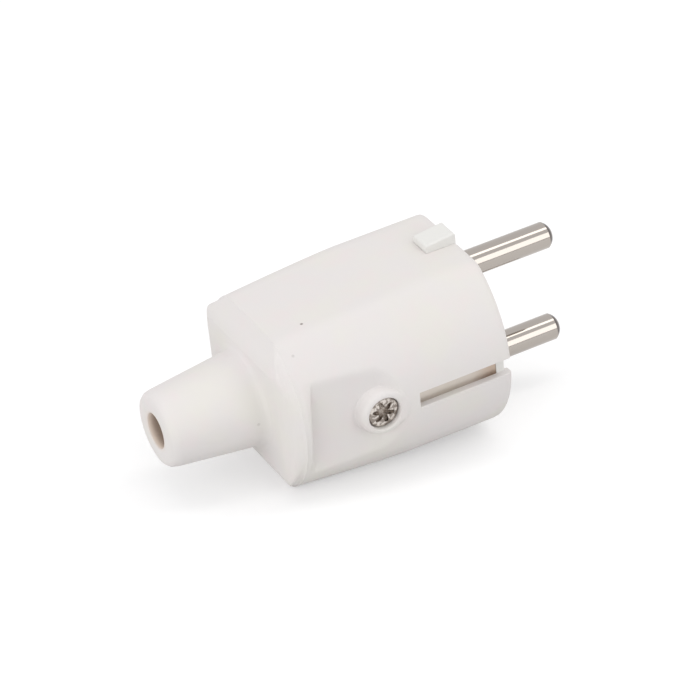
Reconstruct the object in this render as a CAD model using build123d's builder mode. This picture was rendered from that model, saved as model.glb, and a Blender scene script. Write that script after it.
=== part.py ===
"""Rewirable rubber mains plug: two round pins, earth strips in the sides, a screw in the near side.

Millimetres. X is the plug's axis, +X towards the pin tips. The origin is the centre of the front
face, where the pins start. Z is the line through the two pins. The cover's screw is on the -Y side.
Stations along the plug are given as distances behind the front face, so they lie at negative X.
"""

import os

from build123d import *

# Pins, at the standard sizes of this kind of plug
pin_diameter = 4.8
pin_reach = 19.0
pin_spacing = 19.0
pin_tip_round = 1.5
pin_collar_diameter = 5.4
pin_head_diameter = 7.4
pin_head_front = 6.4
pin_head_length = 10.0
wire_bore = 3.2
wire_bore_depth = 8.5

# Contact carrier: the moulded insert behind the plug's face
fit_clearance = 0.2
disc_thickness = 5.0
edge_step = 0.9
edge_step_width = 1.6
tower_half_width = 4.6
tower_length = 17.6
tower_inner = 4.4
spine_half_height = 4.6
spine_length = 19.3
rail_half_height = 3.6
collar_bore_clearance = 0.05
head_bore_clearance = 0.1
post_radius = 2.5

# Earth strip: one bent bow with a contact at each side
strip_thickness = 1.0
strip_width = 5.0
strip_depth = 1.4
strip_front = 2.5
strip_bend = 0.6
strip_side_clearance = 0.1
strip_end_chamfer = 0.4

# Screws, nuts and washer inside
thread_clearance = 0.05
grub_diameter = 3.5
grub_length = 4.0
grub_station = 12.0
grub_top_gap = 0.35
drive_width = 0.7
drive_depth = 0.8
drive_share = 0.6
cross_depth = 1.5
head_edge_share = 0.3
earth_screw_diameter = 3.5
earth_head_diameter = 6.0
earth_head_height = 2.0
earth_screw_length = 6.4
earth_washer_diameter = 7.0
earth_washer_thickness = 1.0
nut_side = 5.5
nut_thickness = 2.2
nut_clearance = 0.1
small_screw_diameter = 3.0
small_head_diameter = 5.2
small_head_height = 1.8
bridge_screw_length = 10.5
clamp_nut_side = 5.0
clamp_nut_thickness = 2.0

# Stations behind the carrier, from front to back
bow_back = spine_length + strip_thickness
ear_thickness = 3.0
ear_back = bow_back + ear_thickness
screw_block_length = 8.3
screw_station = bow_back + screw_block_length / 2
bow_to_saddle = 9.2
saddle_front = bow_back + bow_to_saddle
saddle_length = 6.0
saddle_back = saddle_front + saddle_length
saddle_middle = saddle_front + saddle_length / 2
saddle_to_room_back = 2.5
room_back = saddle_back + saddle_to_room_back
room_back_to_ridge = 0.7
ridge_station = room_back + room_back_to_ridge

# Rubber cover, outside: straight in front, then tapered to the ridge
barrel_radius = 18.6
barrel_station = 18.6
barrel_taper = 1.35
ridge_radius = barrel_radius - barrel_taper
front_flat = 16.1
flat_bulge = 0.15
barrel_flat = front_flat + flat_bulge
ridge_flat = front_flat - barrel_taper
flat_soft = 6.0
rim_round = 1.0

# The rounded back, behind the ridge
ridge_step = 0.15
back_length = 2.6
back_station = ridge_station + back_length
back_height_inset = 5.15
back_width_inset = 4.75
bulge_length = 1.6
bulge_station = ridge_station + bulge_length
height_bulge_inset = 2.65
width_bulge_inset = 2.05
back_corner_inset = 0.25
back_round_length = 2.4
back_round_inset = 0.95
back_flat_inset = 2.55
back_half_height = ridge_flat - back_height_inset
back_half_width = ridge_radius - back_width_inset
height_bulge = ridge_flat - height_bulge_inset
width_bulge = ridge_radius - width_bulge_inset
back_corner_radius = ridge_radius - back_corner_inset
back_round_station = ridge_station + back_round_length
back_round_radius = ridge_radius - back_round_inset
back_flat_radius = ridge_radius - back_flat_inset

# Cord grommet
grommet_length = 17.1
grommet_end = back_station + grommet_length
grommet_base_radius = 8.45
grommet_end_radius = 6.7
grommet_end_round = 1.7
grommet_base_round = 1.5
cord_hole_diameter = 6.6
cord_hole_round = 1.0

# Flat panel in the near side, which runs out in front of the screw
panel_half_height = 8.7
panel_behind_screw = 12.6
panel_back_bow = 1.5
panel_back_depth = 3.7
panel_nose_behind_screw = 2.5
panel_nose_before_screw = 3.7
panel_bend_behind_screw = 0.5
panel_bend_depth = 2.25
panel_scoop_before_screw = 1.7
panel_scoop_depth = 1.3
panel_back = screw_station + panel_behind_screw
panel_back_corner = panel_back - panel_back_bow
panel_back_floor = barrel_radius - panel_back_depth
panel_nose_start = screw_station + panel_nose_behind_screw
panel_nose = screw_station - panel_nose_before_screw
panel_bend = screw_station + panel_bend_behind_screw
panel_bend_floor = barrel_radius - panel_bend_depth
panel_scoop = screw_station - panel_scoop_before_screw
panel_scoop_floor = barrel_radius - panel_scoop_depth

# Screw boss in the near side, and its screw
boss_radius = 4.1
boss_base_radius = 4.5
boss_set_back = 0.1
boss_top = barrel_radius - boss_set_back
boss_round = 0.9
screw_head_diameter = 5.7
screw_head_height = 2.4
screw_head_depth = 2.5
screw_seat = boss_top - screw_head_depth
screw_diameter = 3.5
head_hole_clearance = 0.13
shank_clearance = 0.1

# Rubber cover, inside
wall = 1.85
cavity_radius = barrel_radius - wall
cavity_flat = front_flat - wall
room_front_step = 2.15
room_back_step = 3.75
room_front_radius = cavity_radius - room_front_step
room_back_radius = cavity_radius - room_back_step
passage_mouth_radius = 5.0
room_end_length = 3.0
passage_mouth = room_back + room_end_length
passage_neck_length = 6.0
passage_neck = passage_mouth + passage_neck_length
groove_clearance = 0.1
slot_width = 2.9
slot_back = 17.7

# Lugs of the carrier, through windows in the cover's flats
lug_width = 4.5
lug_front = 0.3
lug_back = 6.0
lug_rise_front = 2.1
lug_rise_back = 1.5
lug_top_front = front_flat + lug_rise_front
lug_top_back = front_flat + lug_rise_back
lug_round = 0.4
window_clearance = 0.1

# Rear bridge: it holds the earth bow down, takes the side screw and carries the cord clamp
post_y_inset = 7.0
post_z_inset = 6.6
post_y = room_front_radius - post_y_inset
post_z = room_front_radius - post_z_inset
ear_radius = 2.8
arm_inset = 2.6
arm_thickness = 3.0
arm_outer = room_back_radius - arm_inset
arm_inner = arm_outer - arm_thickness
saddle_inset = 5.6
saddle_bottom = room_back_radius - saddle_inset
saddle_top = 3.0
trough_radius = 5.0
trough_centre = 1.0
trough_rib = 0.6
trough_rib_width = 0.8
trough_rib_spacing = 3.0
screw_block_inset = 1.7
screw_block_outer = room_front_radius - screw_block_inset
screw_block_half_height = 4.2
screw_tip_inset = 0.1
screw_tip = arm_inner + screw_tip_inset
saddle_round = 1.8
block_round = 0.6
clamp_screw_inset = 3.0
clamp_screw_y = arm_outer - clamp_screw_inset
bar_width = 4.6
bar_thickness = 2.4
bar_end_inset = 0.2
bar_half_length = arm_outer - bar_end_inset
bar_arch = 0.9
bar_arch_half_width = 4.4
bar_round = 0.6

pin_half_spacing = pin_spacing / 2
carrier_radius = cavity_radius - fit_clearance
carrier_flat = cavity_flat - fit_clearance
strip_face = barrel_radius - strip_depth
strip_back = strip_face - strip_thickness
rail_inner = strip_back - 2 * strip_width
cavity_back = bow_back + groove_clearance
bar_top = saddle_top + bar_thickness
clamp_nut_seat = saddle_bottom - clamp_nut_thickness
far_out = 2 * grommet_end

os.makedirs("parts", exist_ok=True)


def save(piece, name):
    """Name a finished piece and write it."""
    piece.part.label = name
    export_step(piece.part, f"parts/{name}.step")


def across(station, y=0, z=0):
    """A plane square to the plug's axis, facing forward, with its local x along Y and y along Z."""
    return Plane(origin=(-station, y, z), x_dir=(0, 1, 0), z_dir=(1, 0, 0))


def sideways(station, y, z, side):
    """A plane that faces the near side for side -1, or the far side for side 1."""
    return Plane(origin=(-station, y, z), x_dir=(1, 0, 0), z_dir=(0, side, 0))


def level(station, y, z, side):
    """A plane that faces up for side 1, or down for side -1."""
    return Plane(origin=(-station, y, z), x_dir=(1, 0, 0), z_dir=(0, 0, side))


def flattened_circle(radius, flat):
    """Draw a circle with flats above and below, in the sketch that is being built."""
    Circle(radius)
    Rectangle(4 * radius, 2 * flat, mode=Mode.INTERSECT)


def body_section(station, radius, flat):
    """The cover's section: a circle with flats above and below, and soft edges between them."""
    with BuildSketch(across(station)) as section:
        flattened_circle(radius, flat)
        fillet(section.vertices(), radius=flat_soft)
    return section.sketch


# Room inside the cover for the carrier, the earth bow, the wires and the cord
with BuildPart() as cavity:
    with BuildSketch(across(-far_out)):
        flattened_circle(cavity_radius, cavity_flat)
    extrude(amount=-(far_out + cavity_back))
    with BuildSketch(across(-far_out)):
        Rectangle(2 * (strip_face + groove_clearance), strip_width + 2 * groove_clearance)
    extrude(amount=-(far_out + cavity_back))
    with BuildSketch(Plane.XY):
        with BuildLine():
            Polyline(
                (-cavity_back, 0),
                (-cavity_back, room_front_radius),
                (-room_back, room_back_radius),
                (-passage_mouth, passage_mouth_radius),
                (-passage_neck, cord_hole_diameter / 2),
                (-far_out, cord_hole_diameter / 2),
                (-far_out, 0),
                (-cavity_back, 0),
            )
        make_face()
    revolve(axis=Axis.X)

# The back behind the ridge: the body's section, rounded off from above, below and both sides
with BuildPart() as back_end:
    add(body_section(ridge_station, ridge_radius - ridge_step, ridge_flat - ridge_step))
    past_back = 2 * back_station - ridge_station
    add(body_section(past_back, ridge_radius - 3 * ridge_step, ridge_flat - 3 * ridge_step))
    loft()
    for plane, edge, bulge, end in (
        (Plane.XZ, ridge_flat, height_bulge, back_half_height),
        (Plane.XY, ridge_radius, width_bulge, back_half_width),
    ):
        with BuildSketch(plane):
            with BuildLine():
                ThreePointArc((-ridge_station, edge), (-bulge_station, bulge), (-back_station, end))
                Polyline((-back_station, end), (-back_station, 0), (-ridge_station, 0), (-ridge_station, edge))
            make_face()
            mirror(about=Plane.XZ)
        extrude(amount=far_out, both=True, mode=Mode.INTERSECT)
    with BuildSketch(Plane.XY):
        with BuildLine():
            Polyline(
                (-back_station, 0),
                (-ridge_station, 0),
                (-ridge_station, 2 * ridge_radius),
                (-bulge_station, 2 * ridge_radius),
                (-bulge_station, back_corner_radius),
            )
            ThreePointArc(
                (-bulge_station, back_corner_radius),
                (-back_round_station, back_round_radius),
                (-back_station, back_flat_radius),
            )
            Line((-back_station, back_flat_radius), (-back_station, 0))
        make_face()
    revolve(axis=Axis.X, mode=Mode.INTERSECT)

# The panel's cutter: its floor seen from above, and its outline seen from the side
with BuildPart() as panel_cut:
    with BuildSketch(Plane.XY):
        with BuildLine():
            Line((-panel_back, -panel_back_floor), (-panel_bend, -panel_bend_floor))
            ThreePointArc(
                (-panel_bend, -panel_bend_floor),
                (-panel_scoop, -panel_scoop_floor),
                (-panel_nose, -barrel_radius),
            )
            Polyline(
                (-panel_nose, -barrel_radius),
                (-panel_nose, -far_out),
                (-panel_back, -far_out),
                (-panel_back, -panel_back_floor),
            )
        make_face()
    extrude(amount=panel_half_height, both=True)
    with BuildSketch(Plane.XZ):
        with BuildLine():
            ThreePointArc(
                (-panel_back_corner, panel_half_height),
                (-panel_back, 0),
                (-panel_back_corner, -panel_half_height),
            )
            Line((-panel_back_corner, -panel_half_height), (-panel_nose_start, -panel_half_height))
            EllipticalCenterArc(
                (-panel_nose_start, 0),
                panel_nose_start - panel_nose,
                panel_half_height,
                start_angle=-90,
                arc_size=180,
            )
            Line((-panel_nose_start, panel_half_height), (-panel_back_corner, panel_half_height))
        make_face()
    extrude(amount=far_out, both=True, mode=Mode.INTERSECT)

# Boss around the screw, with a rounded top
with BuildPart() as boss:
    with BuildSketch(sideways(screw_station, -screw_seat, 0, -1)):
        Circle(boss_base_radius)
    with BuildSketch(sideways(screw_station, -boss_top, 0, -1)):
        Circle(boss_radius)
    loft()
    fillet(boss.faces().sort_by(Axis.Y)[0].edges(), radius=boss_round)

with BuildPart() as rubber_cover:
    # Barrel: straight in front, then slightly tapered
    add(body_section(0, barrel_radius, front_flat))
    add(body_section(barrel_station, barrel_radius, barrel_flat))
    add(body_section(ridge_station, ridge_radius, ridge_flat))
    loft()
    fillet(rubber_cover.faces().sort_by(Axis.X)[-1].edges(), radius=rim_round)
    add(back_end.part)
    # Grommet, with a hollow round at its root and rounded lips
    with BuildSketch(Plane.XY):
        with BuildLine():
            Polyline(
                (-back_station + grommet_base_round, 0),
                (-back_station + grommet_base_round, grommet_base_radius + grommet_base_round),
                (-back_station, grommet_base_radius + grommet_base_round),
            )
            RadiusArc(
                (-back_station, grommet_base_radius + grommet_base_round),
                (-back_station - grommet_base_round, grommet_base_radius),
                grommet_base_round,
            )
            Polyline(
                (-back_station - grommet_base_round, grommet_base_radius),
                (-grommet_end, grommet_end_radius),
                (-grommet_end, 0),
                (-back_station + grommet_base_round, 0),
            )
        make_face()
    revolve(axis=Axis.X)
    fillet(rubber_cover.faces().sort_by(Axis.X)[0].edges(), radius=grommet_end_round)
    add(panel_cut.part, mode=Mode.SUBTRACT)
    add(boss.part)
    add(cavity.part, mode=Mode.SUBTRACT)
    fillet(rubber_cover.faces().sort_by(Axis.X)[0].inner_wires().edges(), radius=cord_hole_round)
    # Hole and seat for the screw
    with BuildSketch(sideways(screw_station, -screw_seat, 0, -1)):
        Circle(screw_head_diameter / 2 + head_hole_clearance)
    extrude(amount=far_out, mode=Mode.SUBTRACT)
    with BuildSketch(sideways(screw_station, -screw_seat, 0, 1)):
        Circle(screw_diameter / 2 + shank_clearance)
    extrude(amount=screw_seat, mode=Mode.SUBTRACT)
    # Slots over the earth strips, open at the rim
    with BuildSketch(Plane.XY):
        with Locations((-slot_back / 2, 0)):
            Rectangle(slot_back, 4 * barrel_radius)
    extrude(amount=slot_width / 2, both=True, mode=Mode.SUBTRACT)
    # Windows for the lugs, open at the rim
    window_back = lug_back + window_clearance
    with BuildSketch(Plane.XZ):
        with Locations((-window_back / 2, 0)):
            Rectangle(window_back, 4 * barrel_radius)
    extrude(amount=lug_width / 2 + window_clearance, both=True, mode=Mode.SUBTRACT)

save(rubber_cover, "rubber_cover")

# Contact carrier: the moulded insert behind the plug's face
with BuildPart() as contact_carrier:
    with BuildSketch(across(edge_step)):
        flattened_circle(carrier_radius, carrier_flat)
    extrude(amount=-(disc_thickness - edge_step))
    # The face stands a little proud of its edge
    with BuildSketch(across(edge_step)):
        flattened_circle(carrier_radius - edge_step_width, carrier_flat - edge_step_width)
    extrude(amount=edge_step)
    # Keys in front of the earth strip's two ends
    with BuildSketch(across(edge_step)):
        Rectangle(2 * strip_face, strip_width)
    extrude(amount=-(disc_thickness - edge_step))
    # Towers that hold the pins' heads
    for side in (1, -1):
        with BuildSketch(across(disc_thickness, 0, side * (tower_inner + carrier_flat) / 2)):
            Rectangle(2 * tower_half_width, carrier_flat - tower_inner)
        extrude(amount=-(tower_length - disc_thickness))
    # Spine between the towers, and rails under the earth strips
    with BuildSketch(across(disc_thickness)):
        Rectangle(2 * rail_inner, 2 * spine_half_height)
        Rectangle(4 * carrier_radius, 2 * rail_half_height)
        Circle(carrier_radius, mode=Mode.INTERSECT)
    extrude(amount=-(spine_length - disc_thickness))
    # Posts for the bridge's screws
    for side in (1, -1):
        with BuildSketch(across(disc_thickness, side * post_y, side * post_z)):
            Circle(post_radius)
        extrude(amount=-(bow_back - disc_thickness))
    # Lugs, a little higher in front
    for side in (1, -1):
        with BuildSketch(Plane.XZ):
            with BuildLine():
                Polyline(
                    (-lug_front, side * tower_inner),
                    (-lug_front, side * lug_top_front),
                    (-lug_back, side * lug_top_back),
                    (-lug_back, side * tower_inner),
                    (-lug_front, side * tower_inner),
                )
            make_face()
        extrude(amount=lug_width / 2, both=True)
    lug_faces = contact_carrier.faces().sort_by(Axis.Z)
    fillet(lug_faces[-1].edges() + lug_faces[0].edges(), radius=lug_round)
    # Channels for the earth strips, closed in front
    channel_half = strip_width / 2 + strip_side_clearance
    for side in (1, -1):
        with BuildSketch(across(strip_front - strip_side_clearance, side * (strip_back + far_out / 2), 0)):
            Rectangle(far_out, 2 * channel_half)
        extrude(amount=-far_out, mode=Mode.SUBTRACT)
    # Bores for the pins and their heads, and access to the terminal screws
    for side in (1, -1):
        with BuildSketch(across(0, 0, side * pin_half_spacing)):
            Circle(pin_collar_diameter / 2 + collar_bore_clearance)
        extrude(amount=-pin_head_front, mode=Mode.SUBTRACT)
        with BuildSketch(across(pin_head_front, 0, side * pin_half_spacing)):
            Circle(pin_head_diameter / 2 + head_bore_clearance)
        extrude(amount=-tower_length, mode=Mode.SUBTRACT)
        with BuildSketch(level(grub_station, 0, side * pin_half_spacing, side)):
            Circle(grub_diameter / 2 + head_bore_clearance)
        extrude(amount=pin_half_spacing, mode=Mode.SUBTRACT)
    # Pilot holes in the posts
    for side in (1, -1):
        with BuildSketch(across(bow_back, side * post_y, side * post_z)):
            Circle(small_screw_diameter / 2 + thread_clearance)
        extrude(amount=bridge_screw_length - ear_thickness + fit_clearance, mode=Mode.SUBTRACT)
    # Pocket for the earth nut, and room for the end of its screw
    with BuildSketch(across(spine_length)):
        Rectangle(nut_side + 2 * nut_clearance, nut_side + 2 * nut_clearance)
    extrude(amount=nut_thickness, mode=Mode.SUBTRACT)
    with BuildSketch(across(spine_length)):
        Circle(earth_screw_diameter / 2 + shank_clearance)
    extrude(amount=earth_screw_length, mode=Mode.SUBTRACT)

save(contact_carrier, "contact_carrier")


# Pins and their terminal screws
def make_pin(name, side):
    """A turned pin with a collar in the carrier and a thicker head, bored from behind and tapped across."""
    z = side * pin_half_spacing
    head_back = pin_head_front + pin_head_length
    with BuildPart() as pin:
        with BuildSketch(across(-pin_reach, 0, z)):
            Circle(pin_diameter / 2)
        extrude(amount=-pin_reach)
        fillet(pin.faces().sort_by(Axis.X)[-1].edges(), radius=pin_tip_round)
        with BuildSketch(across(0, 0, z)):
            Circle(pin_collar_diameter / 2)
        extrude(amount=-pin_head_front)
        with BuildSketch(across(pin_head_front, 0, z)):
            Circle(pin_head_diameter / 2)
        extrude(amount=-pin_head_length)
        with BuildSketch(across(head_back, 0, z)):
            Circle(wire_bore / 2)
        extrude(amount=wire_bore_depth, mode=Mode.SUBTRACT)
        with BuildSketch(level(grub_station, 0, z, side)):
            Circle(grub_diameter / 2 + thread_clearance)
        extrude(amount=pin_head_diameter, mode=Mode.SUBTRACT)
    save(pin, name)


def make_grub_screw(name, side):
    """A headless slotted screw, which clamps the wire in the pin's head."""
    top = side * (carrier_flat - grub_top_gap)
    with BuildPart() as grub:
        with BuildSketch(level(grub_station, 0, top, side)):
            Circle(grub_diameter / 2)
        extrude(amount=-grub_length)
        with BuildSketch(level(grub_station, 0, top, side)):
            Rectangle(2 * grub_diameter, drive_width)
        extrude(amount=-drive_depth, mode=Mode.SUBTRACT)
    save(grub, name)


make_pin("line_pin", 1)
make_pin("neutral_pin", -1)
make_grub_screw("line_terminal_screw", 1)
make_grub_screw("neutral_terminal_screw", -1)

# Earth strip: one bow, its ends in the two slots and its middle behind the carrier
with BuildPart() as earth_strip:
    with BuildSketch(Plane.XY):
        with Locations((-(strip_front + bow_back) / 2, 0)):
            Rectangle(bow_back - strip_front, 2 * strip_face)
        with Locations((-(strip_front + spine_length) / 2, 0)):
            Rectangle(spine_length - strip_front, 2 * strip_back, mode=Mode.SUBTRACT)
    extrude(amount=strip_width / 2, both=True)
    bends = earth_strip.edges().filter_by(Axis.Z).group_by(Axis.X)
    fillet(bends[0], radius=strip_bend + strip_thickness)
    tips = earth_strip.faces().filter_by(Axis.X).sort_by(Axis.X)[-2:]
    tip_edges = ShapeList(edge for tip in tips for edge in tip.edges().filter_by(Axis.Y))
    chamfer(tip_edges, length=strip_end_chamfer)
    with BuildSketch(across(bow_back)):
        Circle(earth_screw_diameter / 2 + shank_clearance)
    extrude(amount=strip_thickness, mode=Mode.SUBTRACT)

save(earth_strip, "earth_strip")

# Bridge behind the carrier
with BuildPart() as rear_bridge:
    # Saddle for the cord, with two gripping ribs across its trough
    with BuildSketch(across(saddle_front, 0, (saddle_top - saddle_bottom) / 2)):
        Rectangle(2 * arm_outer, saddle_top + saddle_bottom)
    extrude(amount=-(saddle_back - saddle_front))
    saddle_corners = rear_bridge.edges().filter_by(Axis.X).group_by(Axis.Z)[0]
    fillet(saddle_corners, radius=saddle_round)
    for radius, start, end in (
        (trough_radius - trough_rib, saddle_front, saddle_back),
        (trough_radius, saddle_front, saddle_middle - (trough_rib_spacing + trough_rib_width) / 2),
        (
            trough_radius,
            saddle_middle - (trough_rib_spacing - trough_rib_width) / 2,
            saddle_middle + (trough_rib_spacing - trough_rib_width) / 2,
        ),
        (trough_radius, saddle_middle + (trough_rib_spacing + trough_rib_width) / 2, saddle_back),
    ):
        with BuildSketch(across(start, 0, trough_centre)):
            Circle(radius)
            with Locations((0, radius)):
                Rectangle(2 * radius, 2 * radius)
        extrude(amount=-(end - start), mode=Mode.SUBTRACT)
    # Arms along both sides
    for side in (1, -1):
        with BuildSketch(across(bow_back, side * (arm_inner + arm_outer) / 2, 0)):
            Rectangle(arm_outer - arm_inner, 2 * saddle_top)
        extrude(amount=-(saddle_front - bow_back))
    # Ears over the carrier's posts
    for side in (1, -1):
        with BuildSketch(across(bow_back, side * post_y, side * post_z)):
            Circle(ear_radius)
            with Locations((0, -side * post_z / 2)):
                Rectangle(2 * ear_radius, post_z)
        extrude(amount=-ear_thickness)
    # Block that holds the nut of the side screw
    with BuildSketch(sideways(bow_back + screw_block_length / 2, -screw_block_outer, 0, 1)):
        Rectangle(screw_block_length, 2 * screw_block_half_height)
    extrude(amount=screw_block_outer - arm_inner)
    block_edges = rear_bridge.faces().sort_by(Axis.Y)[0].edges().filter_by(Axis.X)
    fillet(block_edges, radius=block_round)
    # Holes for the ears' screws
    for side in (1, -1):
        with BuildSketch(across(bow_back, side * post_y, side * post_z)):
            Circle(small_screw_diameter / 2 + shank_clearance)
        extrude(amount=-ear_thickness, mode=Mode.SUBTRACT)
    # Hole and nut pocket for the side screw
    with BuildSketch(sideways(screw_station, -screw_block_outer, 0, 1)):
        Circle(screw_diameter / 2 + shank_clearance)
    extrude(amount=screw_block_outer, mode=Mode.SUBTRACT)
    with BuildSketch(sideways(screw_station, -arm_inner, 0, -1)):
        Rectangle(nut_side + 2 * nut_clearance, nut_side + 2 * nut_clearance)
    extrude(amount=nut_thickness, mode=Mode.SUBTRACT)
    # Holes and nut pockets for the clamp's screws
    for side in (1, -1):
        with BuildSketch(level(saddle_middle, side * clamp_screw_y, saddle_top, 1)):
            Circle(small_screw_diameter / 2 + shank_clearance)
        extrude(amount=-far_out, mode=Mode.SUBTRACT)
        with BuildSketch(level(saddle_middle, side * clamp_screw_y, -clamp_nut_seat, -1)):
            Rectangle(clamp_nut_side + 2 * nut_clearance, clamp_nut_side + 2 * nut_clearance)
        extrude(amount=far_out, mode=Mode.SUBTRACT)

save(rear_bridge, "rear_bridge")

# Bar that presses the cord into the saddle
with BuildPart() as cord_clamp_bar:
    with BuildSketch(across(saddle_middle - bar_width / 2)):
        with BuildLine():
            Line((-bar_half_length, saddle_top), (-bar_arch_half_width, saddle_top))
            ThreePointArc(
                (-bar_arch_half_width, saddle_top),
                (0, saddle_top + bar_arch),
                (bar_arch_half_width, saddle_top),
            )
            Polyline(
                (bar_arch_half_width, saddle_top),
                (bar_half_length, saddle_top),
                (bar_half_length, bar_top),
                (-bar_half_length, bar_top),
                (-bar_half_length, saddle_top),
            )
        make_face()
    extrude(amount=-bar_width)
    fillet(cord_clamp_bar.faces().sort_by(Axis.Z)[-1].edges(), radius=bar_round)
    for side in (1, -1):
        with BuildSketch(level(saddle_middle, side * clamp_screw_y, bar_top, 1)):
            Circle(small_screw_diameter / 2 + shank_clearance)
        extrude(amount=-bar_thickness, mode=Mode.SUBTRACT)

save(cord_clamp_bar, "cord_clamp_bar")


# Fasteners
def make_screw(name, seat, shank_diameter, shank_length, head_diameter, head_height, cross=False):
    """A pan-head screw with a slot or a cross: its head stands on the seat, its shank goes below."""
    with BuildPart() as screw:
        with BuildSketch(seat):
            Circle(head_diameter / 2)
        extrude(amount=head_height)
        rim = screw.edges().sort_by(lambda edge: (edge.center() - seat.origin).dot(seat.z_dir))[-1]
        chamfer(rim, length=head_edge_share * head_height)
        with BuildSketch(seat):
            Circle(shank_diameter / 2)
        extrude(amount=-shank_length)
        with BuildSketch(seat.offset(head_height)):
            Rectangle(drive_share * head_diameter, drive_width)
            if cross:
                Rectangle(drive_width, drive_share * head_diameter)
        extrude(amount=-(cross_depth if cross else drive_depth), mode=Mode.SUBTRACT)
    save(screw, name)


def make_nut(name, seat, side_length, thickness, screw_size):
    """A square nut that lies on the seat."""
    with BuildPart() as nut:
        with BuildSketch(seat):
            Rectangle(side_length, side_length)
            Circle(screw_size / 2 + thread_clearance, mode=Mode.SUBTRACT)
        extrude(amount=thickness)
    save(nut, name)


make_screw(
    "cover_screw",
    sideways(screw_station, -screw_seat, 0, -1),
    screw_diameter,
    screw_seat - screw_tip,
    screw_head_diameter,
    screw_head_height,
    cross=True,
)
make_nut(
    "cover_screw_nut",
    sideways(screw_station, -(arm_inner + nut_thickness), 0, 1),
    nut_side,
    nut_thickness,
    screw_diameter,
)

# Earth terminal, at the middle of the bow
with BuildPart() as earth_terminal_washer:
    with BuildSketch(across(bow_back)):
        Circle(earth_washer_diameter / 2)
        Circle(earth_screw_diameter / 2 + shank_clearance, mode=Mode.SUBTRACT)
    extrude(amount=-earth_washer_thickness)
save(earth_terminal_washer, "earth_terminal_washer")

backward = Plane(origin=(-bow_back - earth_washer_thickness, 0, 0), x_dir=(0, 1, 0), z_dir=(-1, 0, 0))
make_screw(
    "earth_terminal_screw",
    backward,
    earth_screw_diameter,
    earth_screw_length,
    earth_head_diameter,
    earth_head_height,
)
make_nut("earth_terminal_nut", across(spine_length), nut_side, nut_thickness, earth_screw_diameter)

# Screws of the bridge
for name, side in (("upper_bridge_screw", 1), ("lower_bridge_screw", -1)):
    ear_seat = Plane(origin=(-ear_back, side * post_y, side * post_z), x_dir=(0, 1, 0), z_dir=(-1, 0, 0))
    make_screw(
        name,
        ear_seat,
        small_screw_diameter,
        bridge_screw_length,
        small_head_diameter,
        small_head_height,
    )

# Screws and nuts of the cord clamp
for name, side in (("near", -1), ("far", 1)):
    make_screw(
        f"{name}_clamp_screw",
        level(saddle_middle, side * clamp_screw_y, bar_top, 1),
        small_screw_diameter,
        bar_top + saddle_bottom,
        small_head_diameter,
        small_head_height,
    )
    make_nut(
        f"{name}_clamp_nut",
        level(saddle_middle, side * clamp_screw_y, -clamp_nut_seat, -1),
        clamp_nut_side,
        clamp_nut_thickness,
        small_screw_diameter,
    )
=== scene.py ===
# %% [markdown]
# # A rubber mains plug, dressed for its portrait
#
# The plug is a white rubber cover pulled over a plastic insert with two nickel-plated pins. The solids of
# all its parts come from the CAD model. This script loads them as a frame that stays where it is, and makes
# four pieces anew as worked-out surfaces: the rubber cover with its soft edges, the screw in its side and
# the two pins. All other parts keep their CAD shape and get a finish.

# %% Load the frame
import math

import bpy
import numpy as np
from mathutils import Matrix


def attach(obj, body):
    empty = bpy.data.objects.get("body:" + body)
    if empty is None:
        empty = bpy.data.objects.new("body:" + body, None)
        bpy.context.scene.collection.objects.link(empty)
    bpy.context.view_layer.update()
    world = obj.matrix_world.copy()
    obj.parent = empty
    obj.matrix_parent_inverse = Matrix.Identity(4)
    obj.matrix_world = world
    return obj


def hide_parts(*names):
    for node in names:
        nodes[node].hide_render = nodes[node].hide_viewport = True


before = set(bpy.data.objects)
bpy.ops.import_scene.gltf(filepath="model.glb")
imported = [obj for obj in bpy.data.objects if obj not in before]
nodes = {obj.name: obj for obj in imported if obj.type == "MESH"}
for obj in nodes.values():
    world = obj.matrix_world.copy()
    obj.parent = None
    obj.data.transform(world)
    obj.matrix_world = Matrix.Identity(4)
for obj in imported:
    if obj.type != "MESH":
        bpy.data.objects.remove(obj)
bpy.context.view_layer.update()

MM = 0.001
print("parts in the frame:", len(nodes))

# %% [markdown]
# ## How a surface becomes a mesh
#
# Each new shape is a grid of points: rows along the shape, columns round it. The grid could be built face by
# face, but numpy works out all corners of all faces at once, which is faster and shorter. The columns
# always close round the shape. The rows either close too, as on a ring, or end in two flat caps.


# %% From a grid of points to a closed mesh
def grid(x, y, z):
    """Points from their three coordinates, each spread over all rows and columns."""
    return np.stack(np.broadcast_arrays(x, y, z), axis=-1)


def solid(name, points, closed_rows=False):
    """A mesh from points[row, column] in millimetres. Face (r, c) joins points r and r+1, c and c+1."""
    rows, columns = points.shape[:2]
    index = np.arange(rows * columns).reshape(rows, columns)
    below = np.roll(index, -1, axis=0)
    quads = np.stack([index, np.roll(index, -1, axis=1), np.roll(below, -1, axis=1), below], axis=-1)
    if not closed_rows:
        quads = quads[:-1]
    faces = quads.reshape(-1, 4).tolist()
    if not closed_rows:
        faces += [index[0, ::-1].tolist(), index[-1].tolist()]
    mesh = bpy.data.meshes.new(name)
    mesh.from_pydata((points.reshape(-1, 3) * MM).tolist(), [], faces)
    mesh.update()
    thing = bpy.data.objects.new(name, mesh)
    bpy.context.collection.objects.link(thing)
    return thing


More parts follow.
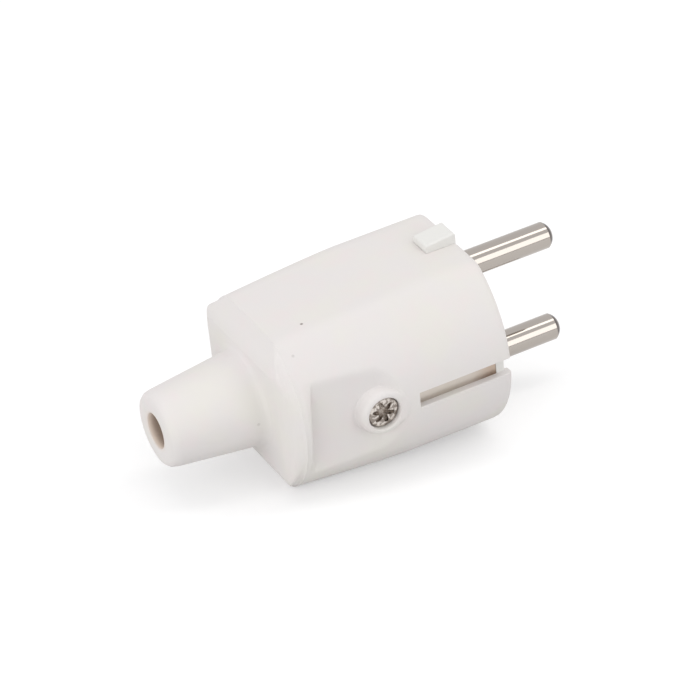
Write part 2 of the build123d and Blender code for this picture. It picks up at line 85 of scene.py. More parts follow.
def volume(thing):
    """Cubic centimetres: the sum of the tetrahedra between the origin and each triangle, without its sign."""
    mesh = thing.data
    mesh.calc_loop_triangles()
    corners = np.empty(len(mesh.vertices) * 3)
    mesh.vertices.foreach_get("co", corners)
    triangles = np.empty(len(mesh.loop_triangles) * 3, dtype=int)
    mesh.loop_triangles.foreach_get("vertices", triangles)
    a, b, c = corners.reshape(-1, 3)[triangles.reshape(-1, 3)].transpose(1, 0, 2)
    return abs(np.einsum("ij,ij->", a, np.cross(b, c))) / 6 / (10 * MM) ** 3


# %% [markdown]
# ## The rubber cover: one closed profile
#
# The real cover is moulded in one piece: a barrel with two flats, a ridge, a rounded back and the cone that
# holds the cord. Boxes and cylinders joined together would show hard seams. So the whole skin is one
# surface. A list of rings goes once round the wall: from the rim along the outside to the cord's hole, and
# back along the inside. Each ring says how far behind the front face it is, and its limits: a circle, flats
# above and below, and sides. A smooth curve through the list rounds every corner.

# %% Measures of the cover, in millimetres
# Places along the plug are distances behind its front face. The others are radii, or steps between them.
BARREL = 18.6
WALL = 1.85
INSIDE = BARREL - WALL
FLAT_STEP = 2.5
INSIDE_FLAT = INSIDE - FLAT_STEP
RIDGE = 38.7
BACK = 41.3
CONE_RADIUS = 8.62
CONE_END = 58.4
CONE_END_RADIUS = 6.7
CORD_HOLE = 3.08
# A limit that no point reaches, and how wide the corners between two limits are rounded
NO_LIMIT = 30.0
SOFT_FLAT = 0.8
SOFT_ROUND = 0.5
SOFT_BACK = 0.4
SOFT_INSIDE = 0.15
print("inside of the wall, circle and flats:", round(INSIDE, 2), round(INSIDE_FLAT, 2))

# %% Rings of the barrel
FRONT_FLAT = 16.1
FLAT_BULGE = 0.15
TAPER_START = 17.0
FLAT_TAPER_START = 10.0
TAPER_POWER = 1.26
TAPER = 0.0289
FLAT_TAPER = 0.0218
# The rows lie close together where the panel's back wall will stand
BARREL_STATIONS = np.arange(1.9, 36.5, 1.15)
WALL_STATIONS = np.array([36.7, 36.9, 37.03, 37.1, 37.17, 37.3, 37.5, 37.8, 38.2, 38.5])


def barrel_rings(stations):
    """Circle and flats. In front the circle is even and the flats bulge a little, and then both shrink by a
    taper times the way back to the power 1.26."""
    behind_front = np.maximum(stations - TAPER_START, 0) ** TAPER_POWER
    behind_flats = np.maximum(stations - FLAT_TAPER_START, 0) ** TAPER_POWER
    circle = BARREL - TAPER * behind_front
    bulge = FLAT_BULGE * np.minimum(stations / FLAT_TAPER_START, 1)
    flat = FRONT_FLAT + bulge - FLAT_TAPER * behind_flats
    sides = np.full_like(stations, NO_LIMIT)
    return np.column_stack([stations, circle, flat, sides, np.full_like(stations, SOFT_FLAT)])


barrel = barrel_rings(np.concatenate([BARREL_STATIONS, WALL_STATIONS]))
print("rings of the barrel:", len(barrel))

# %% Rings of the rim, the back and the cone
# Each ring: how far behind the face, circle, flats, sides, softness
rim = np.array(
    [
        [3.0, INSIDE, INSIDE_FLAT, NO_LIMIT, SOFT_INSIDE],
        [1.0, INSIDE, INSIDE_FLAT, NO_LIMIT, SOFT_INSIDE],
        [0.3, INSIDE, INSIDE_FLAT, NO_LIMIT, SOFT_INSIDE],
        [0.0, INSIDE + 0.1, INSIDE_FLAT + 0.1, NO_LIMIT, 0.3],
        [0.0, INSIDE + 0.35, INSIDE_FLAT + 0.35, NO_LIMIT, SOFT_ROUND],
        [0.0, BARREL, BARREL - FLAT_STEP, NO_LIMIT, SOFT_FLAT],
    ]
)
back = np.array(
    [
        [38.72, 17.27, 14.79, NO_LIMIT, 0.6],
        [38.86, 17.05, 14.45, 17.75, SOFT_BACK],
        [39.4, 16.9, 13.6, 16.95, SOFT_BACK],
        [40.0, 16.95, 12.7, 16.0, SOFT_BACK],
        [40.6, 17.1, 11.8, 14.9, SOFT_BACK],
        [41.08, 16.9, 10.75, 13.6, SOFT_BACK],
        [41.28, 16.0, 10.0, 12.6, SOFT_BACK],
        [BACK, 13.5, 9.9, 11.8, SOFT_ROUND],
        [BACK, 11.5, 9.8, 11.2, 1.0],
        [BACK, CONE_RADIUS, 9.8, 11.0, 0.6],
    ]
)
CONE_STATIONS = np.array([44.3, 47.0, 50.0, 52.5, 55.0])
cone_slope = (CONE_RADIUS - CONE_END_RADIUS) / (CONE_END - BACK)
cone = np.column_stack(
    [
        CONE_STATIONS,
        CONE_RADIUS - cone_slope * (CONE_STATIONS - BACK),
        np.full((len(CONE_STATIONS), 2), NO_LIMIT),
        np.full(len(CONE_STATIONS), SOFT_ROUND),
    ]
)
print("rings of the rim, the back and the cone:", len(rim), len(back), len(cone))

# %% Rings of the cone's lip and the inside
# The insert is pushed in as far as this step, and the room for the wires lies behind it
INSERT_STEP = 20.4
lip_and_inside = np.array(
    [
        [CONE_END, CONE_END_RADIUS, NO_LIMIT, NO_LIMIT, SOFT_ROUND],
        [CONE_END, 4.3, NO_LIMIT, NO_LIMIT, SOFT_ROUND],
        [CONE_END, CORD_HOLE, NO_LIMIT, NO_LIMIT, SOFT_ROUND],
        [56.6, CORD_HOLE, NO_LIMIT, NO_LIMIT, SOFT_ROUND],
        [52.0, CORD_HOLE, NO_LIMIT, NO_LIMIT, SOFT_ROUND],
        [47.0, CORD_HOLE, NO_LIMIT, NO_LIMIT, SOFT_ROUND],
        [41.2, 5.0, NO_LIMIT, NO_LIMIT, SOFT_ROUND],
        [38.2, 12.9, NO_LIMIT, NO_LIMIT, SOFT_ROUND],
        [34.0, 13.36, NO_LIMIT, NO_LIMIT, SOFT_ROUND],
        [27.0, 14.0, NO_LIMIT, NO_LIMIT, SOFT_ROUND],
        [INSERT_STEP + 0.3, 14.6, 14.7, NO_LIMIT, SOFT_ROUND],
        [INSERT_STEP, 14.8, 14.3, NO_LIMIT, SOFT_ROUND],
        [INSERT_STEP, 16.4, INSIDE_FLAT, NO_LIMIT, 0.3],
        [INSERT_STEP - 0.2, INSIDE, INSIDE_FLAT, NO_LIMIT, SOFT_INSIDE],
        [14.0, INSIDE, INSIDE_FLAT, NO_LIMIT, SOFT_INSIDE],
        [8.0, INSIDE, INSIDE_FLAT, NO_LIMIT, SOFT_INSIDE],
    ]
)
rings = np.vstack([rim, barrel, back, cone, lip_and_inside])
print("rings along the cover's wall:", len(rings))


# %% A soft curve through the rings
def soft_curve(controls, steps):
    """Closed quadratic B-spline: t runs from 0 to 1 between three neighbours a, b and c, and the point is
    a(1-t)^2/2 + b(1/2 + t - t^2) + c t^2/2."""
    before = np.roll(controls, 1, axis=0)[:, None]
    after = np.roll(controls, -1, axis=0)[:, None]
    t = np.linspace(0, 1, steps, endpoint=False)[None, :, None]
    curve = before * (1 - t) ** 2 / 2 + controls[:, None] * (0.5 + t - t**2) + after * t**2 / 2
    return curve.reshape(-1, controls.shape[1])


COLUMNS = 264
CURVE_STEPS = 3
rows = soft_curve(rings, CURVE_STEPS)
angle = (np.arange(COLUMNS) + 0.5) * 2 * np.pi / COLUMNS
along_y = np.cos(angle)[None, :]
along_z = np.sin(angle)[None, :]
station, circle, flat, side, softness = [value[:, None] for value in rows.T]
print("points in the cover's surface:", rows.shape[0] * COLUMNS)

# %% [markdown]
# ## The panel in the near side
#
# A flat panel is sunk into the near side, with a low curved wall at its back. In front it runs out into the
# barrel. It could be cut out with a block, but the mould's soft edges would be lost. Here the surface is
# pressed in: on the near side no point may stand further out than the panel's floor. The rows at the back
# wall are first bent along that wall's curve, so that the wall comes out clean.

# %% Bend the rows along the panel's back wall
PANEL_HALF_HEIGHT = 8.7
PANEL_FRONT = 20.75
# The wall bows forward with the square of the way from this height, in full at the panel's upper edge
WALL_BOW = 1.2
BOW_MIDDLE = -3.5
# The bow fades out above and below the panel, in front of it, and just before the ridge
FADE_HEIGHT = 13.0
FADE_UPWARDS = 3.5
FADE_FORWARDS = 10
FADE_END = RIDGE - 0.15
FADE_BACKWARDS = 1.3

outside_first = len(rim) * CURVE_STEPS
outside_last = (len(rim) + len(barrel)) * CURVE_STEPS
outside = np.zeros_like(station, dtype=bool)
outside[outside_first:outside_last] = True
near_side = along_y < 0
height_here = along_z * circle
bow = WALL_BOW * np.clip((height_here - BOW_MIDDLE) / (PANEL_HALF_HEIGHT - BOW_MIDDLE), -1, 1) ** 2
bow = bow * np.clip((FADE_HEIGHT - np.abs(height_here)) / FADE_UPWARDS, 0, 1) * near_side
share_in_front = np.clip((station - PANEL_FRONT) / FADE_FORWARDS, 0, 1)
share_behind = np.clip((FADE_END - station) / FADE_BACKWARDS, 0, 1)
bent = station - np.where(outside, bow * share_in_front * share_behind, 0)

barrel_rows = rows[outside_first:outside_last]
barrel_rows = barrel_rows[np.argsort(barrel_rows[:, 0])]
circle = np.where(outside, np.interp(bent, barrel_rows[:, 0], barrel_rows[:, 1]), circle)
flat = np.where(outside, np.interp(bent, barrel_rows[:, 0], barrel_rows[:, 2]), flat)
print("rows move forward by at most:", round(float((station - bent).max()), 2))


# %% The section at each row
# The far side of the back stands a little further in, and the corners at both sides are five times as soft
FAR_SIDE_INSET = 0.8
SOFT_SIDE = 5
CLEAR_OF_CONE = 12
NEARLY_ZERO = 0.01


def soft_min(a, b, width):
    """The smaller of a and b, with the corner between them rounded where they differ by less than width."""
    near = np.maximum(width - np.abs(a - b), 0) / width
    return np.minimum(a, b) - near**2 * width / 4


behind_barrel = np.arange(len(rows)) >= outside_last
back_rows = behind_barrel & (rows[:, 0] < BACK + 0.1) & (rows[:, 1] > CLEAR_OF_CONE)
side = side - FAR_SIDE_INSET * back_rows[:, None] * (along_y > 0)
beside = side / np.maximum(np.abs(along_y), NEARLY_ZERO)
above = flat / np.maximum(np.abs(along_z), NEARLY_ZERO)
distance = soft_min(soft_min(circle, above, softness), beside, softness * SOFT_SIDE)
print("furthest point from the axis:", round(float(distance.max()), 2))

# %% Press the panel's floor in
PANEL_BEND = 24.95
PANEL_WALL = 37.1
BEND_FLOOR = 16.35
BACK_FLOOR = 14.9
floor_slope = (BEND_FLOOR - BACK_FLOOR) / (PANEL_WALL - PANEL_BEND)
scoop = (BARREL - BEND_FLOOR - floor_slope * (PANEL_BEND - PANEL_FRONT)) / (PANEL_BEND - PANEL_FRONT) ** 2
# The back wall climbs between these two places, and the press lets go over its top
WALL_FOOT = 36.95
WALL_TOP = 38.15
LET_GO = 0.4
STEEPNESS = 2
PRESS_SOFTNESS = 0.35
LEAST_SHARE = 0.05


def panel_floor(stations):
    """How far out the panel's floor lies: a slope, plus a parabola in front of the bend."""
    ahead = np.maximum(PANEL_BEND - stations, 0)
    return BEND_FLOOR + floor_slope * (PANEL_BEND - stations) + scoop * ahead**2


up_the_wall = np.clip((station - WALL_FOOT) / (WALL_TOP - WALL_FOOT), 0, 1)
over_floor = np.maximum(distance * np.abs(along_y) - panel_floor(bent), 0)
wall_rise = over_floor * (1 - (1 - up_the_wall) ** 3)
wall_rise = wall_rise + STEEPNESS * np.clip(station - WALL_TOP + LET_GO, 0, 1)
edge_rise = np.maximum(distance * np.abs(along_z) - PANEL_HALF_HEIGHT, 0) * STEEPNESS
deepest = (panel_floor(bent) + wall_rise + edge_rise) / np.maximum(-along_y, LEAST_SHARE)
pressed = soft_min(distance, deepest, PRESS_SOFTNESS)
pressed = np.where(outside & near_side, pressed, distance)
print("panel pressed in by at most:", round(float((distance - pressed).max()), 2))

# %% The skin of the cover
# The cord's hole is a little narrower from side to side
HOLE_STATION = 47
HOLE_LIMIT = 3.4
HOLE_SQUEEZE = 0.92
in_cord_hole = (pressed < HOLE_LIMIT) & (station > HOLE_STATION)
squeeze = np.where(in_cord_hole, HOLE_SQUEEZE, 1.0)
skin = grid(-bent, pressed * along_y * squeeze, pressed * along_z)
cover = solid("rubber_cover_skin", skin, closed_rows=True)
print("cover before its holes, cubic centimetres:", round(volume(cover), 2))

# %% [markdown]
# ## The boss round the screw
#
# The screw sits in a round boss that stands up from the panel. Its foot must meet a floor that slopes and
# then climbs, so a plain cylinder would leave a gap or a hard step. The boss is a stack of circles whose foot
# follows the floor's height at each point and flares out to it, and a Boolean joins it to the skin.

# %% Boss that follows the panel's floor
SCREW_STATION = 24.45
BOSS_TOP = 18.5
ROUND_COLUMNS = 120
# Each circle: distance from the screw's axis, share of the way up from floor to top, how far below that
BOSS_CIRCLES = np.array(
    [
        [4.8, 0.0, 1.3],
        [4.8, 0.0, 0.12],
        [4.55, 0.0, 0.02],
        [4.4, 0.06, 0.0],
        [4.3, 0.18, 0.0],
        [4.24, 0.38, 0.0],
        [4.18, 0.58, 0.0],
        [4.05, 0.76, 0.0],
        [3.85, 0.9, 0.0],
        [3.55, 0.98, 0.0],
        [3.25, 1.0, 0.0],
        [2.4, 1.0, 0.0],
    ]
)


def full_turn(columns):
    """Even angles round a circle, in radians."""
    return np.arange(columns) * 2 * np.pi / columns


def round_the_screw(radius, height, turn):
    """Points at radius times (cos, sin) of the turn from the screw's axis, at a height from the plug's."""
    return grid(-SCREW_STATION + radius * np.cos(turn), -height, radius * np.sin(turn))


boss_turn = full_turn(ROUND_COLUMNS)
boss_radius, share_up, sunk = [value[:, None] for value in BOSS_CIRCLES.T]
on_plan = round_the_screw(boss_radius, 0, boss_turn)
barrel_there = np.sqrt(BARREL**2 - on_plan[..., 2] ** 2)
floor_there = soft_min(panel_floor(-on_plan[..., 0]), barrel_there, PRESS_SOFTNESS)
boss_height = floor_there + share_up * np.maximum(BOSS_TOP - floor_there, 0) - sunk
boss_height[-2:] = BOSS_TOP
boss = solid("boss", round_the_screw(boss_radius, boss_height, boss_turn))
print("boss, cubic centimetres:", round(volume(boss), 3))

# %% [markdown]
# ## Holes, slots and windows
#
# The mould leaves openings: slots over the earth strips, windows for the insert's lugs and a stepped hole for
# the screw. Each could be cut with a plain block. These cutters are flared instead: they widen by a quarter
# of a millimetre or less just under the surface, so that every cut edge is rounded as rubber edges are.

# %% A cutter for a slit
# The flare is a quarter circle that grows no more above this depth. Each cutter runs on beyond the cover
FLARE_START = 0.04
SLIT_EDGE = 0.25
BEYOND_FACE = [1.0, 2.0]
BEYOND_COVER = 21.0


def flare(depth, radius):
    """How much wider a rounded edge is at a depth below the surface: radius less the height of its circle."""
    covered = np.clip(radius - np.maximum(depth, FLARE_START), 0, radius)
    return radius - np.sqrt(radius**2 - covered**2)


def slit(name, back_end, half_width, surface, inner, outward, edge=SLIT_EDGE):
    """A cutter for a slit open at the front. At each height from the plug's axis, its outline runs forward at
    plus the half width and back at minus it, both widened by the flare of the depth below the surface."""
    # The points lie close together where the flares are: in the last millimetre, and just below the surface
    ahead = np.concatenate([np.linspace(-back_end, -1, 30), np.linspace(-0.9, 0, 7), BEYOND_FACE])
    below_edge = np.linspace(inner, surface - 0.3, 4)
    heights = np.concatenate([below_edge, surface - np.linspace(0.25, 0, 6), [BEYOND_COVER]])[:, None]
    depth = surface - heights
    width = half_width + flare(depth, edge) + flare(-ahead, edge)[None, :] * (ahead > -1)
    forth = grid(ahead, heights, width)
    forth[:, 0, 0] -= flare(depth[:, 0], edge)
    loop = np.concatenate([forth, forth[:, ::-1] * [1, 1, -1]], axis=1)
    if outward == "near":
        loop = loop[:, ::-1] * [1, -1, 1]
    if outward == "top":
        loop = loop[:, ::-1][..., [0, 2, 1]]
    if outward == "bottom":
        loop = loop[..., [0, 2, 1]] * [1, 1, -1]
    return solid(name, loop)


slot = {"back_end": 17.7, "half_width": 1.45, "surface": 18.55, "inner": 15.5}
window = {"back_end": 6.03, "half_width": 2.27, "surface": 16.15, "inner": 13.0, "edge": 0.12}
slits = [
    slit("near_slot", outward="near", **slot),
    slit("far_slot", outward="far", **slot),
    slit("top_window", outward="top", **window),
    slit("bottom_window", outward="bottom", **window),
]
print("slits, cubic centimetres:", [round(volume(thing), 3) for thing in slits])

# %% A cutter for the screw's hole
# Each circle: distance from the screw's axis, height from the plug's
HOLE_CIRCLES = np.array(
    [
        [0.4, 13.0],
        [1.85, 13.0],
        [1.85, 16.0],
        [2.98, 16.0],
        [2.98, 18.2],
        [3.01, 18.33],
        [3.09, 18.43],
        [3.2, 18.49],
        [3.3, 18.6],
        [3.3, 20.0],
        [0.4, 20.0],
    ]
)
screw_hole = solid("screw_hole", round_the_screw(HOLE_CIRCLES[:, :1], HOLE_CIRCLES[:, 1:], boss_turn))
cutters = slits + [screw_hole]
print("screw's hole, cubic centimetres:", round(volume(screw_hole), 3))

# %% Cut the cover
COVER_CREASE = 38


def join(thing, other, operation):
    """Add or cut away another closed mesh."""
    step = thing.modifiers.new(other.name, "BOOLEAN")
    step.operation = operation
    step.solver = "EXACT"
    step.object = other


def shade(mesh, crease_angle):
    """Smooth shading where two faces meet under that angle in degrees, and a sharp edge elsewhere."""
    mesh.polygons.foreach_set("use_smooth", np.ones(len(mesh.polygons), dtype=bool))
    mesh.set_sharp_from_angle(angle=math.radians(crease_angle))


def settle(thing, tools, crease_angle):
    """Work the Booleans into the mesh, drop the tools, and shade what is left."""
    bpy.context.view_layer.update()
    made = bpy.data.meshes.new_from_object(thing.evaluated_get(bpy.context.evaluated_depsgraph_get()))
    thing.modifiers.clear()
    thing.data = made
    for tool in tools:
        bpy.data.objects.remove(tool)
    shade(made, crease_angle)


join(cover, boss, "UNION")
for cutter in cutters:
    join(cover, cutter, "DIFFERENCE")
settle(cover, [boss] + cutters, COVER_CREASE)
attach(cover, "root")
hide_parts("rubber_cover")
print("cover, cubic centimetres:", round(volume(cover), 2), "faces:", len(cover.data.polygons))

# %% [markdown]
# ## The screw in the side
#
# It is a short machine screw with a star drive. The CAD solid has a plain head and a plain shank. Here one
# surface is turned round the screw's axis: a slightly domed head, a six-lobed hollow pressed into it, and a
# shank with a thread. The hollow and the thread are formulas in the turning angle, so no cutting is needed.

# %% Head of the screw
HEAD_RADIUS = 2.85
HEAD_TOP = 17.95
HEAD_SEAT = 16.0
HEAD_DOME = 0.2
SHANK_RADIUS = 1.75
STAR_RADIUS = 1.52
STAR_WAVE = 0.6
STAR_ARMS = 6
STAR_TURN = 100
STAR_DEPTH = 1.0
STAR_WALL = 0.32
DIMPLE_DEPTH = 0.1
DIMPLE_RADIUS = 1.1
SCREW_COLUMNS = 144
screw_turn = full_turn(SCREW_COLUMNS)


def smooth_step(edge, width, value):
    """0 below edge, 1 above edge + width, and an S-curve between."""
    t = np.clip((value - edge) / width, 0, 1)
    return t * t * (3 - 2 * t)


out = np.concatenate([np.linspace(0.05, 2.2, 44), np.linspace(2.25, HEAD_RADIUS - 0.18, 6)])[:, None]
lobes = STAR_RADIUS + STAR_WAVE * np.cos(STAR_ARMS * screw_turn + math.radians(STAR_TURN))
hollow = STAR_DEPTH * (1 - smooth_step(-0.3, STAR_WALL, out - lobes))
hollow = hollow + DIMPLE_DEPTH * np.clip(1 - out / DIMPLE_RADIUS, 0, 1)
head_face = HEAD_TOP - HEAD_DOME * (out / HEAD_RADIUS) ** 4 - hollow
head_side = np.array(
    [
        [HEAD_RADIUS - 0.08, HEAD_TOP - 0.25],
        [HEAD_RADIUS - 0.02, HEAD_TOP - 0.35],
        [HEAD_RADIUS, HEAD_TOP - 0.5],
        [HEAD_RADIUS, HEAD_SEAT + 0.1],
        [HEAD_RADIUS - 0.05, HEAD_SEAT],
        [SHANK_RADIUS + 0.15, HEAD_SEAT],
        [SHANK_RADIUS, HEAD_SEAT - 0.15],
    ]
)
print("screw's hollow, deepest:", round(float(hollow.max()), 2))

# %% Shank and thread, and the whole screw
THREAD_START = 15.2
THREAD_RUN_IN = 0.4
THREAD_DEPTH = 0.28
PITCH = 0.6
SCREW_TIP = 7.5
SCREW_CREASE = 40
shank_rows = np.arange(15.7, SCREW_TIP + 0.4, -0.06)[:, None]
spiral = np.abs(((shank_rows / PITCH - screw_turn / (2 * np.pi)) % 1) - 0.5) * 2
run_in = np.clip((THREAD_START - shank_rows) / THREAD_RUN_IN, 0, 1)
shank = SHANK_RADIUS - THREAD_DEPTH * spiral * run_in
tip = np.array([[1.3, SCREW_TIP + 0.2], [1.05, SCREW_TIP]])
screw_parts = [
    (out, head_face),
    (head_side[:, :1], head_side[:, 1:]),
    (shank, shank_rows),
    (tip[:, :1], tip[:, 1:]),
]
screw_points = np.vstack([round_the_screw(radius, height, screw_turn) for radius, height in screw_parts])
screw = solid("cover_screw_detail", screw_points[::-1])
shade(screw.data, SCREW_CREASE)
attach(screw, "root")
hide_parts("cover_screw")
print("screw, cubic centimetres:", round(volume(screw), 4))

# %% [markdown]
# ## The pins
#
# Each pin is turned from a brass rod: a rounded end, a collar that sits in the insert, and a thicker head
# with a hole for the wire and a threaded hole for its clamping screw. The CAD pin's end is blended away
# smoothly, but on a real pin the tool leaves a fine edge where the rounding begins, and the light breaks
# there. So the pins are turned anew from one profile, with that edge kept.

# %% Profile of a pin
PIN_RADIUS = 2.4
PIN_END = 19.0
ROUNDING_START = 17.8
COLLAR_RADIUS = 2.7
PIN_HEAD_RADIUS = 3.7
PIN_HEAD_FRONT = -6.4
PIN_HEAD_BACK = -16.4
HEAD_CHAMFER = 0.15
WIRE_BORE = 1.6
WIRE_BORE_END = -7.9
NEAR_AXIS = 0.1
SHANK_STEPS, ROUNDING_ROWS = 29, 13
# Each row: place in front of the plug's face, radius
pin_head = np.array(
    [
        [WIRE_BORE_END, NEAR_AXIS],
        [WIRE_BORE_END, WIRE_BORE],
        [PIN_HEAD_BACK, WIRE_BORE],
        [PIN_HEAD_BACK, PIN_HEAD_RADIUS - HEAD_CHAMFER],
        [PIN_HEAD_BACK + HEAD_CHAMFER, PIN_HEAD_RADIUS],
        [PIN_HEAD_FRONT - HEAD_CHAMFER, PIN_HEAD_RADIUS],
        [PIN_HEAD_FRONT, PIN_HEAD_RADIUS - HEAD_CHAMFER],
        [PIN_HEAD_FRONT, COLLAR_RADIUS],
        [0.0, COLLAR_RADIUS],
    ]
)
pin_shank = np.linspace([0, PIN_RADIUS], [ROUNDING_START, PIN_RADIUS], SHANK_STEPS, endpoint=False)
# The end is a quadratic Bezier curve from the shank over a corner to the small flat at the tip
start, corner, end = np.array([[ROUNDING_START, PIN_RADIUS], [18.7, 1.9], [PIN_END, 0.95]])
t = np.linspace(0, 1, ROUNDING_ROWS)[:, None]
rounding = start * (1 - t) ** 2 + corner * 2 * t * (1 - t) + end * t**2
pin_profile = np.vstack([pin_head, pin_shank, rounding, [[PIN_END, NEAR_AXIS]]])
print("rows in a pin's profile:", len(pin_profile))

# %% Turned pins
PIN_SPACING = 19.0
GRUB_STATION = 12.0
GRUB_HOLE = 1.8
GRUB_REACH = 6.0
PIN_COLUMNS = 96
PIN_CREASE = 20


def turned_pin(name, side):
    """The profile's rows of place and radius, turned round the pin's own axis, with the grub screw's hole."""
    middle = side * PIN_SPACING / 2
    turn = full_turn(PIN_COLUMNS)
    place, radius = pin_profile[:, :1], pin_profile[:, 1:]
    pin = solid(name, grid(place, radius * np.cos(turn), middle + radius * np.sin(turn))[::-1])
    x = -GRUB_STATION + GRUB_HOLE * np.cos(turn)
    y = -side * GRUB_HOLE * np.sin(turn)
    z = middle + side * np.array([[0.0], [GRUB_REACH]])
    hole = solid(name + "_grub_hole", grid(x, y, z)[::-1])
    print(hole.name, "cubic centimetres:", round(volume(hole), 4))
    join(pin, hole, "DIFFERENCE")
    settle(pin, [hole], PIN_CREASE)
    return pin


pin_pieces = [turned_pin("line_pin_turned", 1), turned_pin("neutral_pin_turned", -1)]
for piece, node in zip(pin_pieces, ("line_pin", "neutral_pin")):
    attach(piece, "root")
    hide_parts(node)
    print(piece.name, "cubic centimetres:", round(volume(piece), 3))

# %% [markdown]
# ## Finishes
#
# A finish is a small network of shader nodes. Wiring nodes by hand hides the idea, so a finish here is
# written as arithmetic: a class wraps the output of a node, and plus, minus and times lay the Math nodes.
# Everything is placed by Object coordinates, which are the plug's own metres.


# %% Arithmetic on shader sockets
class Signal:
    """A node's output. Arithmetic on it adds Math nodes and gives the result's output."""

    def __init__(self, network, socket):
        self.network = network
        self.socket = socket

    def maths(self, operation, first, second):
        return self.network.node("ShaderNodeMath", {"operation": operation}, {0: first, 1: second})

    def __add__(self, other):
        return self.maths("ADD", self, other)

    def __sub__(self, other):
        return self.maths("SUBTRACT", self, other)

    def __rsub__(self, other):
        return self.maths("SUBTRACT", other, self)

    def __mul__(self, other):
        return self.maths("MULTIPLY", self, other)

    __radd__ = __add__
    __rmul__ = __mul__

    def between(self, low, high):
        """0 at low, 1 at high, with a soft S-curve between. High may be below low."""
        limits = {"Value": self, "From Min": low, "From Max": high}
        return self.network.node("ShaderNodeMapRange", {"interpolation_type": "SMOOTHSTEP"}, limits)

    def other(self, output):
        """Another output of the same node."""
        return Signal(self.network, self.socket.node.outputs[output])


class Network:
    """A tree of shader nodes."""

    def __init__(self, tree):
        self.tree = tree

    def feed(self, node, inputs):
        """Link each signal to its socket, and write each number there."""
        for name, value in inputs.items():
            if isinstance(value, Signal):
                self.tree.links.new(value.socket, node.inputs[name])
            else:
                node.inputs[name].default_value = value

    def node(self, kind, settings, inputs, output=0):
        """Any node: its settings first, then its sockets."""
        made = self.tree.nodes.new(kind)
        for name, value in settings.items():
            setattr(made, name, value)
        self.feed(made, inputs)
        return Signal(self, made.outputs[output])


def paint(red, green, blue):
    """A colour as read from a screen, 0 to 255, turned into the renderer's linear numbers."""
    shown = np.array([red, green, blue]) / 255
    linear = np.where(shown <= 0.04045, shown / 12.92, ((shown + 0.055) / 1.055) ** 2.4)
    return (*linear.tolist(), 1.0)


print("half grey on a screen, as light:", round(paint(128, 128, 128)[0], 3))


# %% A finish and its tools
class Finish(Network):
    """A material: a Principled shader with the given inputs, and the nodes that feed it."""

    def __init__(self, name, inputs):
        self.material = bpy.data.materials.new(name)
        self.material.use_nodes = True
        super().__init__(self.material.node_tree)
        self.shader = self.tree.nodes["Principled BSDF"]
        self.show(inputs)
        self.place = self.node("ShaderNodeTexCoord", {}, {}, "Object")

    def show(self, inputs):
        """Feed the shader itself."""
        self.feed(self.shader, inputs)

    def noise(self, grain, detail=2.0, stretch=(1, 1, 1)):
        """Cloudy noise from 0 to 1 with lumps of about grain millimetres."""
        pulled = self.node("ShaderNodeMapping", {}, {"Vector": self.place, "Scale": stretch})
        cloud = {"Vector": pulled, "Scale": 1 / (grain * MM), "Detail": detail}
        return self.node("ShaderNodeTexNoise", {}, cloud)

    def mix(self, share, first, second):
        """The first colour where share is 0, the second where it is 1: sockets 0, 6 and 7 of the node."""
        return self.node("ShaderNodeMix", {"data_type": "RGBA"}, {0: share, 6: first, 7: second}, 2)

    def coordinates(self):
        """The three coordinates in metres, each as a signal."""
        x = self.node("ShaderNodeSeparateXYZ", {}, {0: self.place})
        return x, x.other(1), x.other(2)

    def distance(self, point):
        """Distance in metres from a point given in millimetres."""
        spot = tuple(value * MM for value in point)
        return self.node("ShaderNodeVectorMath", {"operation": "DISTANCE"}, {0: self.place, 1: spot}, "Value")

    def bump(self, height, depth):
        """Relief of that depth in millimetres where the height signal goes from 0 to 1."""
        relief = {"Height": height, "Distance": depth * MM, "Strength": 1.0}
        self.show({"Normal": self.node("ShaderNodeBump", {}, relief, "Normal")})

    def put_on(self, *things):
        """Give this finish to parts."""
        for thing in things:
            thing.data.materials.clear()
            thing.data.materials.append(self.material)
        print(self.material.name, "on", len(things), "parts")


# %% [markdown]
# ## Rubber
#
# White rubber is never one colour: it yellows and picks up handling marks. One flat colour would look like
# enamel. Two cloudy noises shift the white a little towards pink and yellow, a few specks of dirt sit where
# the real plug has them, and the cord's hole is painted darker inwards, as dust and painted shade. A fine
# relief breaks the gloss.

# %% Rubber finish
COOL_WHITE = paint(224, 220, 218)
WARM_WHITE = paint(225, 222, 216)
PINK_WHITE = paint(227, 218, 217)
# Colours of the cord's hole: dust, and painted shade that darkens the hole inwards
HOLE_LIP_DUST_AND_SHADE = paint(223, 207, 193)
HOLE_DEEP_DUST_AND_SHADE = paint(178, 159, 144)
DIRT = paint(120, 112, 104)
# Each speck: its place and radius in millimetres, and how strongly it shows
SPECKS = [
    ((-32.59, -6.97, 15.14), 0.36, 0.8),
    ((-36.84, -11.55, 12.98), 0.36, 0.2),
    ((-39.94, -9.94, 13.94), 0.4, 0.16),
    ((-41.1, -0.99, 8.59), 0.5, 0.12),
    ((-43.18, -8.41, -0.12), 0.4, 0.18),
    ((-40.69, -17.02, -1.16), 0.4, 0.12),
]
SPECK_CORE = 0.4

rubber = Finish("cover_rubber", {"Specular IOR Level": 0.25})
clouds = rubber.noise(9.0, 3.0).between(0.35, 0.7)
blush = rubber.noise(4.0, 2.0).between(0.45, 0.75)
white = rubber.mix(blush * 0.5, rubber.mix(clouds, COOL_WHITE, WARM_WHITE), PINK_WHITE)

